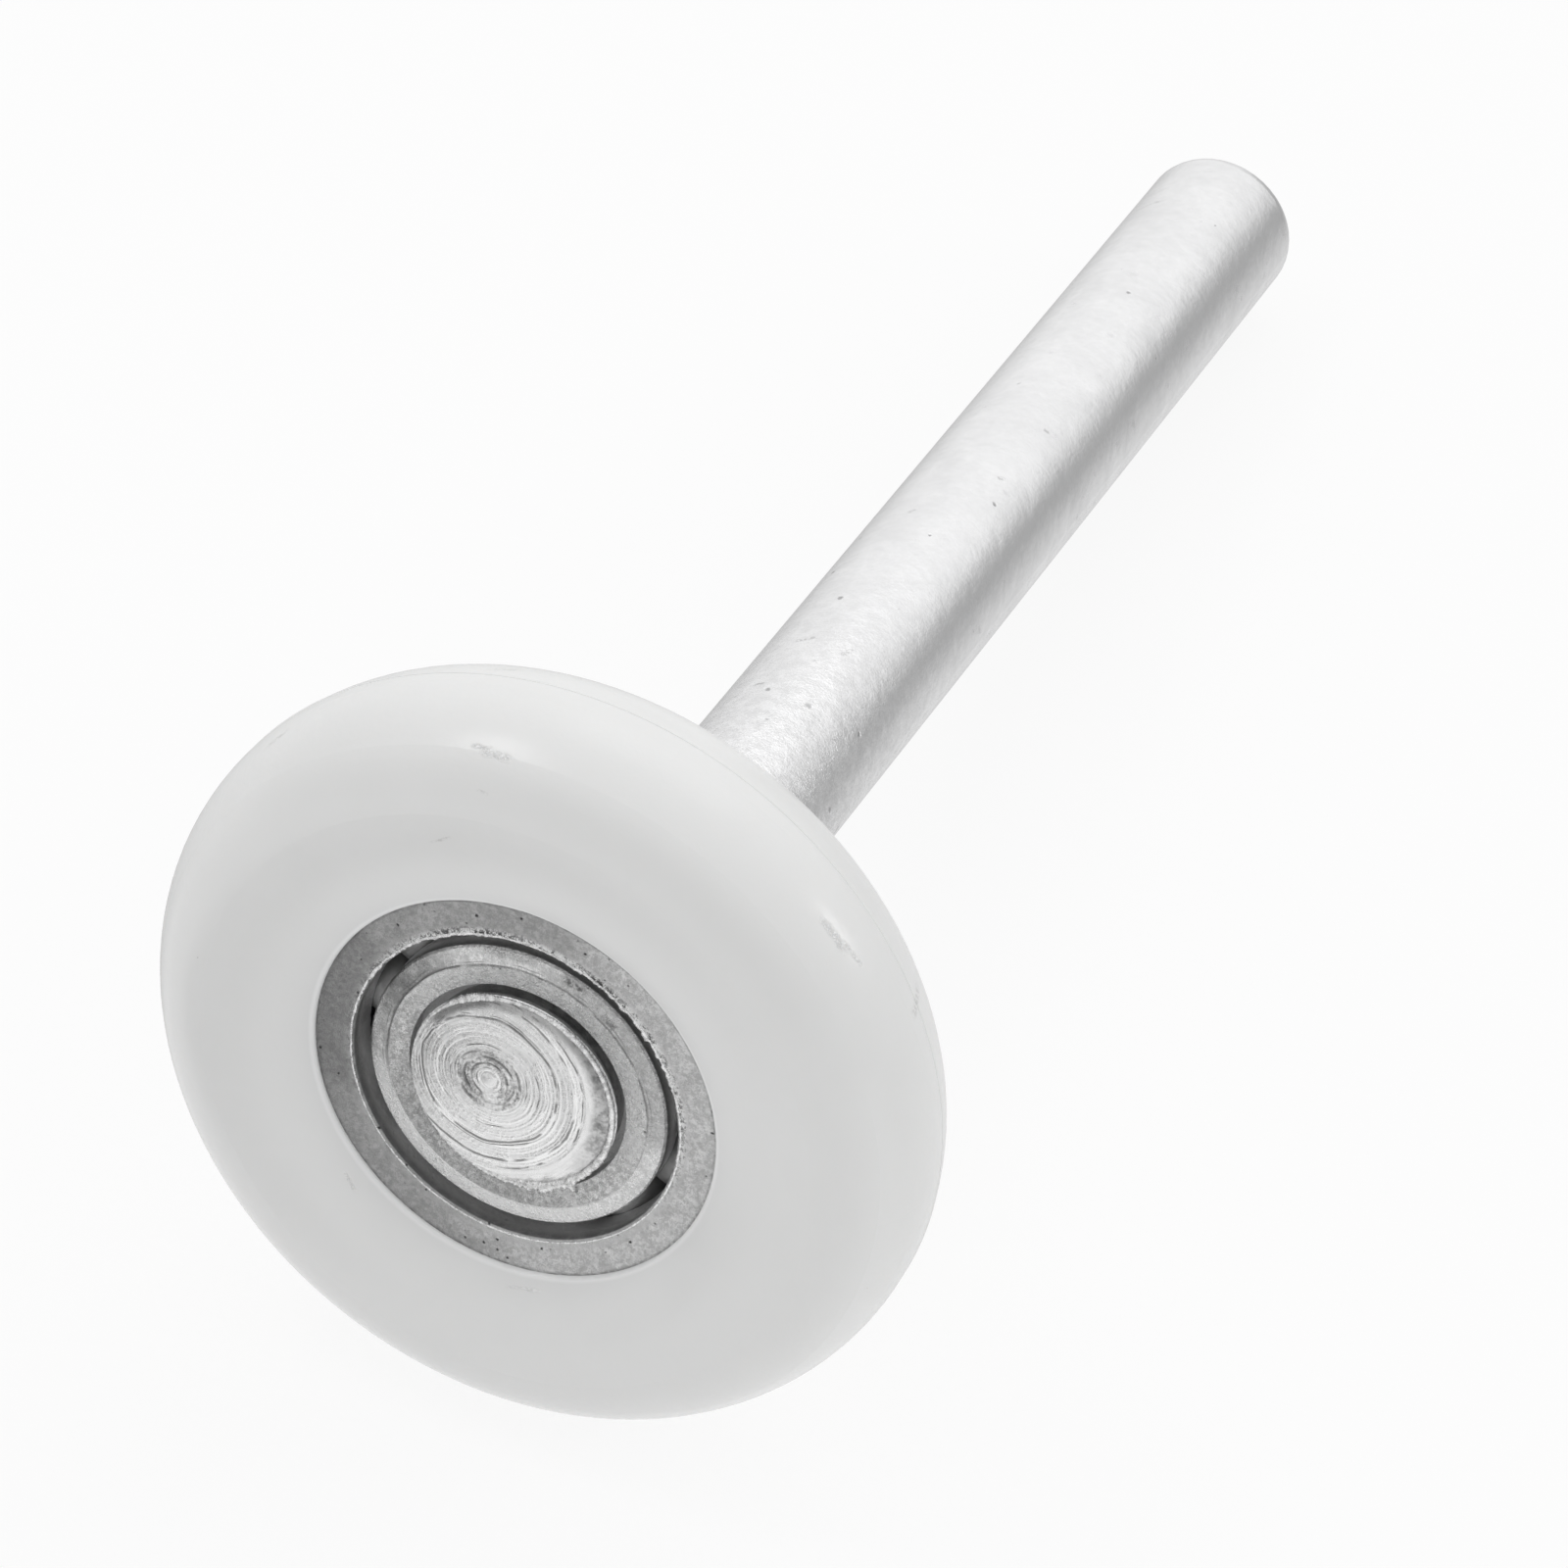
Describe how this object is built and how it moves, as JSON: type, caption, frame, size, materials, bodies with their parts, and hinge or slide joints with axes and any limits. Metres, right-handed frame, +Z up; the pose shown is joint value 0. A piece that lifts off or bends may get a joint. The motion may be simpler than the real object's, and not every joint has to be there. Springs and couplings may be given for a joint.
{
  "type": "garage door roller",
  "caption": "Garage door roller: a moulded nylon wheel on an open full-complement ball bearing, riveted to a short steel stem with an upset collar.",
  "frame": {"origin": "centre of the wheel, on the axis of the stem", "axes": "+Y is the axis that the wheel spins about, from the wheel along the stem to its tail; +Z up with the stem level, as it sits in a hinge beside a track"},
  "size_m": [0.05, 0.1175, 0.05],
  "materials": {
    "nylon": "glossy moulded",
    "race_steel": "dull, tumbled",
    "inner_steel": "turned",
    "ball_steel": "ground and polished",
    "zinc": "zinc plated, mottled"
  },
  "bodies": {
    "stem_assembly": {"stem": "zinc", "inner_race_front": "inner_steel", "inner_race_rear": "inner_steel"},
    "wheel": {"tyre": "nylon", "outer_race": "race_steel"},
    "ball_set": {"ball_01": "ball_steel", "ball_02": "ball_steel", "ball_03": "ball_steel", "ball_04": "ball_steel", "ball_05": "ball_steel", "ball_06": "ball_steel", "ball_07": "ball_steel", "ball_08": "ball_steel", "ball_09": "ball_steel", "ball_10": "ball_steel", "ball_11": "ball_steel", "ball_12": "ball_steel", "ball_13": "ball_steel"}
  },
  "joints": [
    {"name": "wheel_spin", "type": "hinge", "parent": "stem_assembly", "child": "wheel", "pos_m": [0, 0, 0], "axis": [0, 1, 0], "continuous": true},
    {"name": "ball_orbit", "type": "hinge", "parent": "stem_assembly", "child": "ball_set", "pos_m": [0, 0, 0], "axis": [0, 1, 0], "continuous": true}
  ],
  "couplings": [
    {"joint": "ball_orbit", "follows": "wheel_spin", "ratio": 0.6172}
  ]
}
